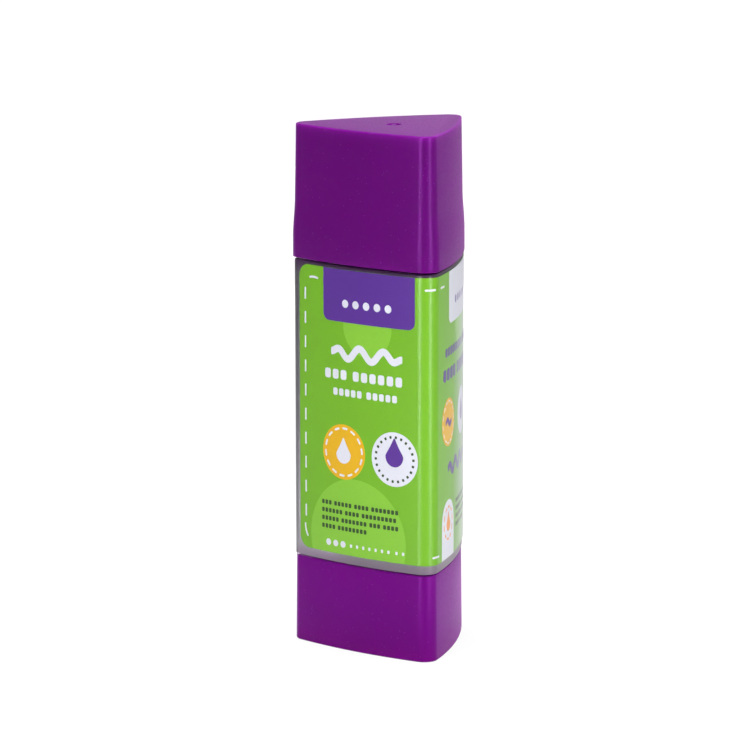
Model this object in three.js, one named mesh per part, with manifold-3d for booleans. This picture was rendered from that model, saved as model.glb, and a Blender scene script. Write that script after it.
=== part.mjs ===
// A twist-up glue stick of rounded triangular section, with its cap on.
// Millimetres, +Z up. The origin is on the turning axis, at the underside of the base.
// The wide printed face looks along -Y, between the corners at -30 and 210 degrees.

import * as THREE from 'three';
import { mergeVertices } from 'three/addons/utils/BufferGeometryUtils.js';
import Module from 'manifold-3d';

const wasm = await Module();
wasm.setup();

// Driving dimensions of the section
const boreRadius = 8.3;
const tubeWall = 0.9;
const airGap = 0.86;
const shellWall = 1.2;
const cornerRadius = 2.5;
const sideBulge = 1.06;

// Driving heights
const baseHeight = 15.6;
const shellHeight = 53.8;
const capHeight = 24;
const neckHeight = 9.3;
const spigotLength = 4.4;
const seamGap = 0.3;

// Base
const baseFloor = 1.6;
const baseWall = 1.2;
const baseTopInset = 0.15;
const baseTopEdge = 0.5;
const baseFootEdge = 0.3;
const collarWall = 0.8;
const collarDrop = 0.6;
const hubWall = 1.9;
const socketLift = 3.1;

// Barrel
const shellFlare = 0.07;
const shellEdge = 0.35;
const deckThickness = 1.2;
const webThickness = 1.4;
const beadHeight = 0.2;
const beadWidth = 1.2;
const beadBelowRim = 3.4;
const ribDepth = 0.4;
const ribWidth = 1;
const ribBelowRim = 2;
const ribCount = 3;

// Cap
const capWall = 1.2;
const capTop = 1.6;
const capTopInset = 0.2;
const capRimFlare = 0.38;
const capTopEdge = 0.45;
const capRimEdge = 0.25;
const flareStart = 3.5;
const flareLength = 7.5;
const skirtWall = 0.8;
const skirtLift = 1.1;
const gussetThickness = 0.8;
const gussetHeight = 16;
const dimpleRadius = 1.38;
const dimpleDepth = 0.35;
const gateRadius = 0.45;
const gateHeight = 0.25;

// Spindle
const lead = 6;
const starts = 2;
const coreRadius = 2.2;
const ridgeHeight = 0.8;
const ridgeRootWidth = 1.4;
const ridgeCrestWidth = 0.9;
const journalRadius = 2.7;
const footRadius = 2.6;
const flangeRadius = 4.4;
const flangeThickness = 1;
const tipLength = 1.6;

// Carrier
const cupHeight = 9.4;
const cupWall = 0.8;
const cupFloor = 1.5;
const nutHeight = 4.5;
const nutWall = 0.85;
const floorLift = 1.1;
const lugLength = 1.8;
const lugThickness = 0.9;

// Paste and label
const glueBelowRim = 1;
const glueEdge = 0.6;
const labelThickness = 0.12;
const labelTopMargin = 0.6;
const labelFootMargin = 1.6;
const labelEndMargin = 0.55;
const labelCornerRadius = 2.3;

// Clearances
const runningGap = 0.25;
const threadGap = 0.15;
const plugGap = 0.1;
const castGap = 0.1;
const filmGap = 0.05;
const bladeMargin = 3;

// How far cutters run past a face, and how far joined shapes sink into each other
const overrun = 1;
const weld = 0.5;

// Facets
const cornerSteps = 8;
const sideSteps = 6;
const roundSteps = 48;
const smallRoundSteps = 32;
const threadSteps = 12;
const grooveSteps = 3;
const edgeSteps = 3;
const flareSteps = 6;

// The section is three corner arcs joined by three flat arcs with the same tangents
const faceDistance = boreRadius + tubeWall + airGap + shellWall;
const cornerDistance = 2 * (faceDistance - cornerRadius - sideBulge);
const chordDistance = cornerDistance / 2 + sideBulge;
const sideCentre = (cornerDistance ** 2 - chordDistance ** 2) / (2 * chordDistance - cornerDistance);
const sideRadius = chordDistance + cornerRadius + sideCentre;
const thirdTurn = 2 * Math.PI / 3;
const sideHalfAngle = Math.atan2(cornerDistance * Math.sin(thirdTurn / 2), cornerDistance / 2 + sideCentre);
const cornerHalfAngle = thirdTurn / 2 - sideHalfAngle;
const frontSide = -Math.PI / 2;
const ribAngles = Array.from({ length: ribCount }, (_, rib) => frontSide + rib * 2 * Math.PI / ribCount);

// Levels, upwards
const baseTop = baseHeight;
const shellFoot = baseTop + seamGap;
const shellTop = shellFoot + shellHeight;
const capRim = shellTop + seamGap;
const topLevel = capRim + capHeight;
const ceiling = topLevel - capTop;
const neckTop = shellTop + neckHeight;
const tubeFoot = shellFoot - spigotLength;
const webTop = tubeFoot + webThickness;
const flangeFoot = webTop + seamGap;
const flangeTop = flangeFoot + flangeThickness;
const nutFoot = flangeTop + seamGap;
const nutTop = nutFoot + nutHeight;
const cupFoot = nutFoot + floorLift;
const cupFloorTop = cupFoot + cupFloor;
const cupTop = cupFoot + cupHeight;
const travel = neckTop - bladeMargin - cupTop;
const threadFoot = flangeTop + seamGap;
const threadTop = nutTop + travel;
const spindleTop = threadTop + seamGap + tipLength;
const glueTop = neckTop - glueBelowRim;

// Radii and widths that fit each other
const tubeRadius = boreRadius + tubeWall;
const beadRadius = tubeRadius + beadHeight;
const skirtBore = beadRadius + threadGap;
const collarBore = tubeRadius + runningGap;
const webBore = journalRadius + runningGap;
const ridgeRadius = coreRadius + ridgeHeight;
const nutBore = ridgeRadius + threadGap;
const nutRadius = nutBore + nutWall;
const cupRadius = boreRadius - threadGap;
const cupBore = cupRadius - cupWall;
const notchRadius = boreRadius - ribDepth - threadGap;
const notchWidth = ribWidth + 2 * threadGap;
const hubRadius = footRadius + plugGap + hubWall;
const hubTop = tubeFoot - seamGap;
const socketFoot = baseFloor + socketLift;

function toSolid(geometry) {
  const bare = geometry.clone();
  bare.deleteAttribute('normal');
  bare.deleteAttribute('uv');
  const merged = mergeVertices(bare, 1e-5);
  const vertProperties = new Float32Array(merged.attributes.position.array);
  const triVerts = new Uint32Array(merged.index.array);
  return new wasm.Manifold(new wasm.Mesh({ numProp: 3, vertProperties, triVerts }));
}

function toMesh(name, solid, material) {
  const { vertProperties, triVerts } = solid.getMesh();
  const geometry = new THREE.BufferGeometry();
  geometry.setAttribute('position', new THREE.BufferAttribute(vertProperties, 3));
  geometry.setIndex(new THREE.BufferAttribute(triVerts, 1));
  geometry.computeVertexNormals();
  const mesh = new THREE.Mesh(geometry, material);
  mesh.name = name;
  return mesh;
}

// A body through convex rings of equal length, each turning anticlockwise seen from its far end
function loft(rings) {
  const count = rings[0].length;
  const positions = rings.flat().flatMap((point) => point.toArray());
  const index = [];
  for (let level = 0; level + 1 < rings.length; level += 1) {
    for (let side = 0; side < count; side += 1) {
      const near = level * count + side;
      const next = level * count + (side + 1) % count;
      index.push(near, next, next + count, near, next + count, near + count);
    }
  }
  const last = (rings.length - 1) * count;
  for (let side = 1; side + 1 < count; side += 1) {
    index.push(0, side + 1, side);
    index.push(last, last + side, last + side + 1);
  }
  const geometry = new THREE.BufferGeometry();
  geometry.setAttribute('position', new THREE.Float32BufferAttribute(positions, 3));
  geometry.setIndex(index);
  return toSolid(geometry);
}

// A turned body about Z from an outline of [radius, height] pairs that runs anticlockwise
function turned(outline, steps = roundSteps) {
  const points = outline.map(([radius, height]) => new THREE.Vector2(radius, height));
  points.push(points[0].clone());
  return toSolid(new THREE.LatheGeometry(points, steps).rotateX(Math.PI / 2));
}

function ringBody(innerRadius, outerRadius, low, high, steps = roundSteps) {
  return turned([[innerRadius, low], [outerRadius, low], [outerRadius, high], [innerRadius, high]], steps);
}

function rod(radius, low, high, steps = smallRoundSteps) {
  const cylinder = new THREE.CylinderGeometry(radius, radius, high - low, steps);
  return toSolid(cylinder.rotateX(Math.PI / 2).translate(0, 0, (low + high) / 2));
}

// A bar that runs out from the axis at an angle
function radialBar(angle, innerRadius, outerRadius, width, low, high) {
  const bar = new THREE.BoxGeometry(outerRadius - innerRadius, width, high - low);
  bar.translate((innerRadius + outerRadius) / 2, 0, (low + high) / 2);
  return toSolid(bar.rotateZ(angle));
}

function arcPoint(centreDistance, centreAngle, radius, angle) {
  const x = centreDistance * Math.cos(centreAngle) + radius * Math.cos(angle);
  const y = centreDistance * Math.sin(centreAngle) + radius * Math.sin(angle);
  return new THREE.Vector2(x, y);
}

function sidePoint(side, angle, offset) {
  return arcPoint(-sideCentre, side, sideRadius + offset, side + angle);
}

function cornerPoint(corner, angle, offset) {
  return arcPoint(cornerDistance, corner, cornerRadius + offset, corner + angle);
}

// The section moved outwards by offset, at one height
function sectionRing(offset, height) {
  const ring = [];
  for (let part = 0; part < 3; part += 1) {
    const side = frontSide + part * thirdTurn;
    for (let step = 0; step < sideSteps; step += 1) {
      ring.push(sidePoint(side, sideHalfAngle * (2 * step / sideSteps - 1), offset));
    }
    for (let step = 0; step < cornerSteps; step += 1) {
      ring.push(cornerPoint(side + thirdTurn / 2, cornerHalfAngle * (2 * step / cornerSteps - 1), offset));
    }
  }
  return ring.map((point) => new THREE.Vector3(point.x, point.y, height));
}

// Rings of a rounded lower edge, upwards
function footEdge(offset, height, radius) {
  const rings = [];
  for (let step = 0; step <= edgeSteps; step += 1) {
    const angle = step / edgeSteps * Math.PI / 2;
    rings.push(sectionRing(offset - radius * (1 - Math.sin(angle)), height + radius * (1 - Math.cos(angle))));
  }
  return rings;
}

// Rings of a rounded upper edge, upwards
function topEdge(offset, height, radius) {
  const rings = [];
  for (let step = 0; step <= edgeSteps; step += 1) {
    const angle = step / edgeSteps * Math.PI / 2;
    rings.push(sectionRing(offset - radius * (1 - Math.cos(angle)), height - radius * (1 - Math.sin(angle))));
  }
  return rings;
}

// One section of the threaded rod. share is how far the ridges stand out, and the thread is left-handed
function threadRing(level, share, radius = coreRadius) {
  const turn = THREE.MathUtils.clamp(level, threadFoot, threadTop) - threadFoot;
  const rootHalf = Math.PI * ridgeRootWidth / lead;
  const crestHalf = Math.PI * ridgeCrestWidth / lead;
  const pitchAngle = 2 * Math.PI / starts;
  const grooveAngle = pitchAngle - 2 * rootHalf;
  const outline = [[-rootHalf, 0], [-crestHalf, 1], [0, 1], [crestHalf, 1], [rootHalf, 0]];
  for (let step = 1; step < grooveSteps; step += 1) {
    outline.push([rootHalf + grooveAngle * step / grooveSteps, 0]);
  }
  const ring = [];
  for (let start = 0; start < starts; start += 1) {
    for (const [angle, stand] of outline) {
      const at = angle + start * pitchAngle - 2 * Math.PI * turn / lead;
      const reach = radius + ridgeHeight * stand * share;
      ring.push(new THREE.Vector3(reach * Math.cos(at), reach * Math.sin(at), level));
    }
  }
  return ring;
}

// A tooth that stands in the thread's groove, tilted like the thread
function threadLug(angle, level) {
  const tip = coreRadius + threadGap;
  const root = nutBore + nutWall / 2;
  const tilt = Math.atan2(lead, 2 * Math.PI * ridgeRadius);
  const lug = new THREE.BoxGeometry(root - tip, lugLength, lugThickness);
  lug.rotateX(-tilt).translate((tip + root) / 2, 0, level);
  return toSolid(lug.rotateZ(angle));
}

function makeBaseKnob() {
  const outside = loft([...footEdge(0, 0, baseFootEdge), ...topEdge(-baseTopInset, baseTop, baseTopEdge)]);
  const hollow = loft([sectionRing(-baseWall, baseFloor), sectionRing(-baseWall, baseTop + overrun)]);
  const collar = ringBody(collarBore, collarBore + collarWall, baseFloor - weld, baseTop - collarDrop);
  const hub = rod(hubRadius, baseFloor - weld, hubTop);
  const socket = rod(footRadius + plugGap, socketFoot, hubTop + overrun, 4);
  return outside.subtract(hollow).add(collar).add(hub).subtract(socket);
}

function makeBarrel() {
  const shell = loft([
    ...footEdge(0, shellFoot, shellEdge / 2),
    ...topEdge(shellFlare, shellTop, shellEdge),
  ]);
  const shellHollow = loft([
    sectionRing(-shellWall, shellFoot - overrun),
    sectionRing(shellFlare - shellWall, shellTop - deckThickness),
  ]);
  const beadTop = neckTop - beadBelowRim;
  const tube = turned([
    [webBore, tubeFoot],
    [tubeRadius, tubeFoot],
    [tubeRadius, beadTop - beadWidth],
    [beadRadius, beadTop - beadWidth / 2],
    [tubeRadius, beadTop],
    [tubeRadius, neckTop - tubeWall / 3],
    [tubeRadius - tubeWall / 3, neckTop],
    [boreRadius, neckTop],
    [boreRadius, webTop],
    [webBore, webTop],
  ]);
  const mouth = rod(tubeRadius - tubeWall / 2, shellFoot, shellTop + overrun);
  let barrel = shell.subtract(shellHollow).subtract(mouth).add(tube);
  const ribFoot = webTop - webThickness / 2;
  const ribTop = neckTop - ribBelowRim;
  const ribRoot = boreRadius + tubeWall / 2;
  for (const angle of ribAngles) {
    barrel = barrel.add(radialBar(angle, boreRadius - ribDepth, ribRoot, ribWidth, ribFoot, ribTop));
  }
  return barrel;
}

function makeCap() {
  const rings = footEdge(capRimFlare, capRim, capRimEdge);
  for (let step = 0; step <= flareSteps; step += 1) {
    const share = step / flareSteps;
    const offset = capRimFlare * (1 - THREE.MathUtils.smoothstep(share, 0, 1));
    rings.push(sectionRing(offset, capRim + flareStart + flareLength * share));
  }
  rings.push(...topEdge(-capTopInset, topLevel, capTopEdge));
  const hollow = loft([
    sectionRing(capRimFlare - capWall, capRim - overrun),
    sectionRing(-capTopInset - capWall, ceiling),
  ]);
  const root = ceiling + capTop / 2;
  const gussetStart = skirtBore + skirtWall / 2;
  const gussetEnd = cornerDistance + cornerRadius - capTopInset - capWall / 2;
  let inside = ringBody(skirtBore, skirtBore + skirtWall, shellTop + skirtLift, root);
  for (let corner = 0; corner < 3; corner += 1) {
    const angle = frontSide + thirdTurn * (corner + 0.5);
    const gusset = radialBar(angle, gussetStart, gussetEnd, gussetThickness, ceiling - gussetHeight, root);
    inside = inside.add(gusset);
  }
  const dimple = rod(dimpleRadius, topLevel - dimpleDepth, topLevel + overrun);
  const gate = rod(gateRadius, topLevel - dimpleDepth - weld, topLevel - dimpleDepth + gateHeight);
  return loft(rings).subtract(hollow).add(inside).subtract(dimple).add(gate);
}

function makeSpindle() {
  const square = rod(footRadius, socketFoot + plugGap, tubeFoot - runningGap / 2, 4);
  const shank = turned([
    [0, hubTop],
    [footRadius / Math.SQRT2, hubTop],
    [journalRadius, tubeFoot],
    [journalRadius, flangeFoot],
    [flangeRadius, flangeFoot],
    [flangeRadius, flangeTop],
    [0, flangeTop],
  ], smallRoundSteps);
  const steps = Math.ceil((threadTop - threadFoot) / lead * threadSteps);
  const runOut = threadSteps / 4;
  const rings = [threadRing(flangeTop - flangeThickness / 2, 0)];
  for (let step = 0; step <= steps; step += 1) {
    const share = Math.min(step, steps - step, runOut) / runOut;
    rings.push(threadRing(threadFoot + (threadTop - threadFoot) * step / steps, share));
  }
  rings.push(threadRing(spindleTop - tipLength, 0), threadRing(spindleTop, 0, coreRadius / 2));
  return shank.add(square).add(loft(rings));
}

function makeCarrier() {
  let carrier = turned([
    [nutBore, nutFoot],
    [nutRadius, nutFoot],
    [nutRadius, cupFoot],
    [cupRadius, cupFoot],
    [cupRadius, cupTop],
    [cupBore, cupTop],
    [cupBore, cupFloorTop],
    [nutRadius, cupFloorTop],
    [nutRadius, nutTop],
    [nutBore, nutTop],
  ]);
  for (const angle of ribAngles) {
    const notch = radialBar(angle, notchRadius, tubeRadius, notchWidth, nutFoot - overrun, cupTop + overrun);
    carrier = carrier.subtract(notch);
  }
  // The lugs stand in the middle of the thread's grooves
  const lugLevel = (nutFoot + nutTop) / 2;
  const groove = lead / starts / 2;
  for (let start = 0; start < starts; start += 1) {
    const turn = start / starts - (lugLevel - threadFoot - groove) / lead;
    carrier = carrier.add(threadLug(turn * 2 * Math.PI, lugLevel));
  }
  return carrier;
}

function makeGlueColumn() {
  const glueFoot = cupFloorTop + castGap;
  const glueRadius = boreRadius - castGap;
  const holeRadius = ridgeRadius + seamGap;
  const holeTop = spindleTop + seamGap;
  const shoulder = cupTop + castGap;
  const bottom = nutRadius + castGap;
  let column = turned([
    [0, holeTop],
    [holeRadius, holeTop],
    [holeRadius, nutTop + castGap],
    [bottom, nutTop + castGap],
    [bottom, glueFoot],
    [cupBore - castGap, glueFoot],
    [cupBore - castGap, shoulder],
    [glueRadius, shoulder],
    [glueRadius, glueTop - glueEdge],
    [glueRadius - glueEdge, glueTop],
    [0, glueTop],
  ]);
  for (const angle of ribAngles) {
    const top = glueTop + overrun;
    column = column.subtract(radialBar(angle, notchRadius, tubeRadius, notchWidth, shoulder - overrun, top));
  }
  return column;
}

// The film's columns along its length: a place on the section, and how far its rounded ends drop there
function labelColumns() {
  const columns = [];
  const endStart = -sideHalfAngle + labelEndMargin / sideRadius;
  const roundSpan = labelCornerRadius / sideRadius;
  const endSteps = 2 * edgeSteps;
  const drop = (angle) => labelCornerRadius * (1 - Math.sin(angle));
  const along = (angle) => roundSpan * (1 - Math.cos(angle));
  for (let step = 0; step < endSteps; step += 1) {
    const angle = step / endSteps * Math.PI / 2;
    columns.push({ place: sidePoint, at: frontSide, angle: endStart + along(angle), drop: drop(angle) });
  }
  for (let part = 0; part < 3; part += 1) {
    const side = frontSide + part * thirdTurn;
    const first = part === 0 ? endStart + roundSpan : -sideHalfAngle;
    const last = part === 2 ? -endStart - roundSpan : sideHalfAngle;
    for (let step = 0; step < sideSteps; step += 1) {
      columns.push({ place: sidePoint, at: side, angle: first + (last - first) * step / sideSteps, drop: 0 });
    }
    if (part < 2) {
      for (let step = 0; step < cornerSteps; step += 1) {
        const angle = cornerHalfAngle * (2 * step / cornerSteps - 1);
        columns.push({ place: cornerPoint, at: side + thirdTurn / 2, angle, drop: 0 });
      }
    }
  }
  const lastSide = frontSide + 2 * thirdTurn;
  for (let step = endSteps; step >= 0; step -= 1) {
    const angle = step / endSteps * Math.PI / 2;
    columns.push({ place: sidePoint, at: lastSide, angle: -endStart - along(angle), drop: drop(angle) });
  }
  return columns;
}

function makeLabel() {
  const low = shellFoot + labelFootMargin;
  const high = shellTop - labelTopMargin;
  const flareAt = (level) => shellFlare * (level - shellFoot) / shellHeight;
  const rings = labelColumns().map(({ place, at, angle, drop }) => {
    const corner = (offset, level) => {
      const point = place(at, angle, flareAt(level) + filmGap + offset);
      return new THREE.Vector3(point.x, point.y, level);
    };
    return [
      corner(0, low + drop),
      corner(0, high - drop),
      corner(labelThickness, high - drop),
      corner(labelThickness, low + drop),
    ];
  });
  return loft(rings);
}

function plastic(color, roughness, opacity = 1) {
  const transparent = opacity < 1;
  return new THREE.MeshStandardMaterial({ color, roughness, metalness: 0, opacity, transparent });
}

const purplePlastic = plastic(0x6a147a, 0.42);
const clearPlastic = plastic(0xb4b2ba, 0.2, 0.5);
const whitePlastic = plastic(0xe8e8ea, 0.45);
const greenFilm = plastic(0x70b530, 0.35);
const purplePaste = plastic(0x8c5ab4, 0.5);

const barrelGroup = new THREE.Group();
barrelGroup.add(toMesh('barrel', makeBarrel(), clearPlastic));
barrelGroup.add(toMesh('label', makeLabel(), greenFilm));

const turningGroup = new THREE.Group();
turningGroup.add(toMesh('base_knob', makeBaseKnob(), purplePlastic));
turningGroup.add(toMesh('spindle', makeSpindle(), whitePlastic));

const risingGroup = new THREE.Group();
risingGroup.add(toMesh('carrier', makeCarrier(), whitePlastic));
risingGroup.add(toMesh('glue_column', makeGlueColumn(), purplePaste));

const glueStick = new THREE.Group();
glueStick.add(barrelGroup, turningGroup, risingGroup);
glueStick.add(toMesh('cap', makeCap(), purplePlastic));

export default glueStick;
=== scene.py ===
import math

import bmesh
import bpy
from mathutils import Matrix, Vector


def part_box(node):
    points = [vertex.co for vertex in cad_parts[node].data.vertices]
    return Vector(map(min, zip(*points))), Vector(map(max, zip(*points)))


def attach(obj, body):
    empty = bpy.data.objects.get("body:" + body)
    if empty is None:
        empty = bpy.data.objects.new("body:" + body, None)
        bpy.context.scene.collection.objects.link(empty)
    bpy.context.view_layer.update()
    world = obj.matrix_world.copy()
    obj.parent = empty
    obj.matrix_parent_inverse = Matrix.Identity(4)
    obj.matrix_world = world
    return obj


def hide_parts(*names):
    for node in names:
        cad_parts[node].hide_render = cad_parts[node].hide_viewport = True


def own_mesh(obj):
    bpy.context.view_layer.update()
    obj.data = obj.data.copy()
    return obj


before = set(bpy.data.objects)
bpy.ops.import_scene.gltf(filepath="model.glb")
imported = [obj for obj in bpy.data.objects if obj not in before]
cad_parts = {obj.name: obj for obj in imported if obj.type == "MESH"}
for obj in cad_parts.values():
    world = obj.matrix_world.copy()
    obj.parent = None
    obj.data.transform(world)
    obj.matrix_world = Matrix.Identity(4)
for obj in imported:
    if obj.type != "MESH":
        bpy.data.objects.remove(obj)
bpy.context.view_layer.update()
scene = bpy.context.scene
mm = 0.001
print("frame loaded:", len(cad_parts), "nodes")


# Camera, at the photograph's viewing angle. Distance and target are in metres

cameraSettings = dict(
    azimuth=39.78,
    elevation=10.459,
    roll=-0.06,
    distance=0.88945,
    lens=238.43,
    sensor=36,
    nearClip=0.05,
    farClip=50,
    target=(0, 0, 0.047),
    targetPixel=(394.08, 384.82),  # where the target lies in the 750 x 750 picture
    imageSize=750,
)


def directionTo(azimuth, elevation):  # azimuth runs from -Y round towards +X, both in degrees
    azimuth = math.radians(azimuth)
    elevation = math.radians(elevation)
    level = math.cos(elevation)
    return Vector((math.sin(azimuth) * level, -math.cos(azimuth) * level, math.sin(elevation)))


def placeCamera(s):
    back = directionTo(s["azimuth"], s["elevation"])
    right = directionTo(s["azimuth"] + 90, 0)
    up = back.cross(right)
    target = Vector(s["target"])
    place = target + back * s["distance"]
    pixel = s["distance"] * s["sensor"] / s["lens"] / s["imageSize"]
    pixelsRight = s["targetPixel"][0] - s["imageSize"] / 2
    pixelsDown = s["targetPixel"][1] - s["imageSize"] / 2
    aim = target - right * pixel * pixelsRight + up * pixel * pixelsDown
    data = bpy.data.cameras.new("camera")
    data.lens = s["lens"]
    data.sensor_width = s["sensor"]
    data.clip_start = s["nearClip"]
    data.clip_end = s["farClip"]
    camera = bpy.data.objects.new("camera", data)
    scene.collection.objects.link(camera)
    turn = (aim - place).to_track_quat("-Z", "Y").to_matrix().to_4x4()
    roll = Matrix.Rotation(math.radians(s["roll"]), 4, "Z")
    camera.matrix_world = Matrix.Translation(place) @ turn @ roll
    scene.camera = camera


placeCamera(cameraSettings)
scene.view_settings.view_transform = "Standard"
print("camera placed")


# Node helpers

def toLinear(code):
    channels = [int(code[i:i + 2], 16) / 255 for i in (1, 3, 5)]
    return [c / 12.92 if c <= 0.04045 else ((c + 0.055) / 1.055) ** 2.4 for c in channels] + [1]


def addNode(tree, kind, settings=None, **links):  # a key such as _0 stands for a socket's number
    node = tree.nodes.new("ShaderNode" + kind)
    for key, value in (settings or {}).items():
        if hasattr(node, key):
            setattr(node, key, value)
        else:
            node.inputs[int(key[1:]) if key[0] == "_" else key].default_value = value
    for key, source in links.items():
        slot = node.inputs[int(key[1:])] if key[0] == "_" else node.inputs[key.replace("_", " ")]
        tree.links.new(source, slot)
    return node


def addLevels(tree, place, levels):  # a colour that goes by height, from pairs of height and colour
    height = addNode(tree, "SeparateXYZ", None, Vector=place)
    first, last = levels[0][0], levels[-1][0]
    share = addNode(tree, "MapRange", {"From Min": first * mm, "From Max": last * mm},
                    Value=height.outputs["Z"])
    ramp = addNode(tree, "ValToRGB", None, Fac=share.outputs[0])
    stops = ramp.color_ramp.elements
    stops[0].color = toLinear(levels[0][1])
    stops[1].color = toLinear(levels[-1][1])
    for level, code in levels[1:-1]:
        stops.new((level - first) / (last - first)).color = toLinear(code)
    return ramp


def newMaterial(name):
    material = bpy.data.materials.new(name)
    material.use_nodes = True
    tree = material.node_tree
    tree.nodes.clear()
    return material, tree


def finishMaterial(tree, shader):
    output = addNode(tree, "OutputMaterial")
    tree.links.new(shader.outputs[0], output.inputs["Surface"])


# Levels that the frame gives, in millimetres, as all sizes of the pieces are

shellGap = 0.3  # between the barrel's shell and the base, and between the shell and the cap
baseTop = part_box("base_knob")[1].z / mm
shellFoot = baseTop + shellGap
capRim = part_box("cap")[0].z / mm
shellTop = capRim - shellGap
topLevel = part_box("cap")[1].z / mm
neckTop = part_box("barrel")[1].z / mm
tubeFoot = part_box("barrel")[0].z / mm


# Materials

purpleFinish = dict(
    color="#640873", deep="#5f066d", cloudSize=14,
    roughness=0.35, roughnessSpread=0.06, ior=1.49, specular=0.08, pearl=0.13,
    sheen=0.24, sheenTint="#d060e0", sheenRoughness=0.35,
    scatter=0.85, scatterDepth=3, scatterRadius=(1, 0.05, 1),
    grainSize=0.36, grainHeight=0.014, grainStrength=0.5,
    speckSpacing=0.95, speckSize=0.11, speckShare=0.42, paintedGlintColor="#a060b4",
)
# A glow is painted light, added to the colour by height: a painted highlight along the cap's top edge, and
# painted light at the base's foot
capFinish = dict(purpleFinish, glow=[
    (topLevel - 2.4, "#000000"),
    (topLevel - 1.1, "#200424"),
    (topLevel - 0.25, "#460f4e"),
    (topLevel - 0.03, "#460f4e"),
    (topLevel, "#000000"),
])
# The base is the cap's plastic with its colour painted lighter, as painted light, and with a glow painted at
# its foot
baseFinish = dict(purpleFinish, color="#710481", deep="#6b037a", sheen=0.36,
                  glow=[(0, "#2d0018"), (3, "#18000c"), (6, "#000000")])


def mouldedPolypropylene(name, f):
    # Injection-moulded polypropylene with a little pearl pigment: satin and evenly coloured, with purple
    # highlights, pale specks painted in as glints of the pearl, and a fine spark-eroded grain, drawn a little
    # coarser than real so that it shows. Light scatters under its skin, so it is lighter where it is seen
    # along.
    # Its glow is painted light
    material, tree = newMaterial(name)
    place = addNode(tree, "TexCoord").outputs["Object"]
    grain = addNode(tree, "TexNoise", {"Scale": 1 / (f["grainSize"] * mm), "Detail": 3, "Roughness": 0.6},
                    Vector=place)
    cloud = addNode(tree, "TexNoise", {"Scale": 1 / (f["cloudSize"] * mm), "Detail": 2}, Vector=place)
    tint = addNode(tree, "Mix", {"data_type": "RGBA", "_6": toLinear(f["color"]), "_7": toLinear(f["deep"])},
                   _0=cloud.outputs["Fac"])
    # painted light: the glow by height is added to the colour
    glow = addLevels(tree, place, f["glow"])
    tint = addNode(tree, "Mix", {"data_type": "RGBA", "blend_type": "ADD", "_0": 1}, _6=tint.outputs[2],
                   _7=glow.outputs[0])
    # Painted glints: pale specks in the colour stand in for the sparkle of the pearl flakes
    specks = addNode(tree, "TexVoronoi", {"Scale": 1 / (f["speckSpacing"] * mm)}, Vector=place)
    speckReach = f["speckSize"] / f["speckSpacing"]
    mask = addNode(tree, "MapRange",
                   {"From Min": speckReach / 2, "From Max": speckReach,
                    "To Min": f["speckShare"], "To Max": 0},
                   Value=specks.outputs["Distance"])
    tint = addNode(tree, "Mix", {"data_type": "RGBA", "_7": toLinear(f["paintedGlintColor"])}, _0=mask.outputs[0],
                   _6=tint.outputs[2])
    matt = addNode(tree, "MapRange",
                   {"From Min": 0.3, "From Max": 0.7, "To Min": f["roughness"] - f["roughnessSpread"],
                    "To Max": f["roughness"] + f["roughnessSpread"]},
                   Value=grain.outputs["Fac"])
    bump = addNode(tree, "Bump", {"Strength": f["grainStrength"], "Distance": f["grainHeight"] * mm},
                   Height=grain.outputs["Fac"])
    shader = addNode(tree, "BsdfPrincipled",
                     {"IOR": f["ior"], "Specular IOR Level": f["specular"], "Metallic": f["pearl"],
                      "Sheen Weight": f["sheen"], "Sheen Roughness": f["sheenRoughness"],
                      "Sheen Tint": toLinear(f["sheenTint"]), "Subsurface Weight": f["scatter"],
                      "Subsurface Scale": f["scatterDepth"] * mm, "Subsurface Radius": f["scatterRadius"]},
                     Base_Color=tint.outputs[2], Roughness=matt.outputs[0], Normal=bump.outputs[0])
    finishMaterial(tree, shader)
    return material


clearFinish = dict(
    roughness=0.3, ior=1.49, transmission=0.6, waveSize=9, waveHeight=0.03, waveStrength=0.4,
    # Painted light and shade: lilac and lighter at the foot, darker up towards the cap, a dark purple band
    # under the cap's rim painted as its shadow and reflection, and the neck lighter towards its top
    levels=[  # the tint, by height
        (14.2, "#c9bfd0"), (15.4, "#a88fac"), (16.6, "#a292a6"), (18, "#b3b0b8"), (40, "#86838b"),
        (67, "#6e6c74"), (69.2, "#593264"), (70.2, "#593264"), (70.5, "#8d8a92"), (84, "#b5b2ba"),
    ],
)


def clearPolypropylene(name, f):
    # Clarified polypropylene: see-through and slightly milky. Its tint by height is painted light and shade,
    # with painted reflections of the purple parts next to it
    material, tree = newMaterial(name)
    place = addNode(tree, "TexCoord").outputs["Object"]
    # painted light and shade, by height
    tint = addLevels(tree, place, f["levels"])
    wave = addNode(tree, "TexNoise", {"Scale": 1 / (f["waveSize"] * mm), "Detail": 2}, Vector=place)
    bump = addNode(tree, "Bump", {"Strength": f["waveStrength"], "Distance": f["waveHeight"] * mm},
                   Height=wave.outputs["Fac"])
    shader = addNode(tree, "BsdfPrincipled",
                     {"Roughness": f["roughness"], "IOR": f["ior"], "Transmission Weight": f["transmission"]},
                     Base_Color=tint.outputs[0], Normal=bump.outputs[0])
    finishMaterial(tree, shader)
    return material


filmFinish = dict(
    roughness=0.31, roughnessSpread=0.03, ior=1.5, specular=0.15, coat=0.62, coatRoughness=0.33,
    dotSize=0.25, variation=0.06,
    waveSize=7, waveHeight=0.012, waveStrength=0.35,
    paintedReflection=0.6, paintedReflectionStart=0.8, paintedReflectionFull=0.95, paintedReflectionColor="#dcdcea",
)


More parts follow.
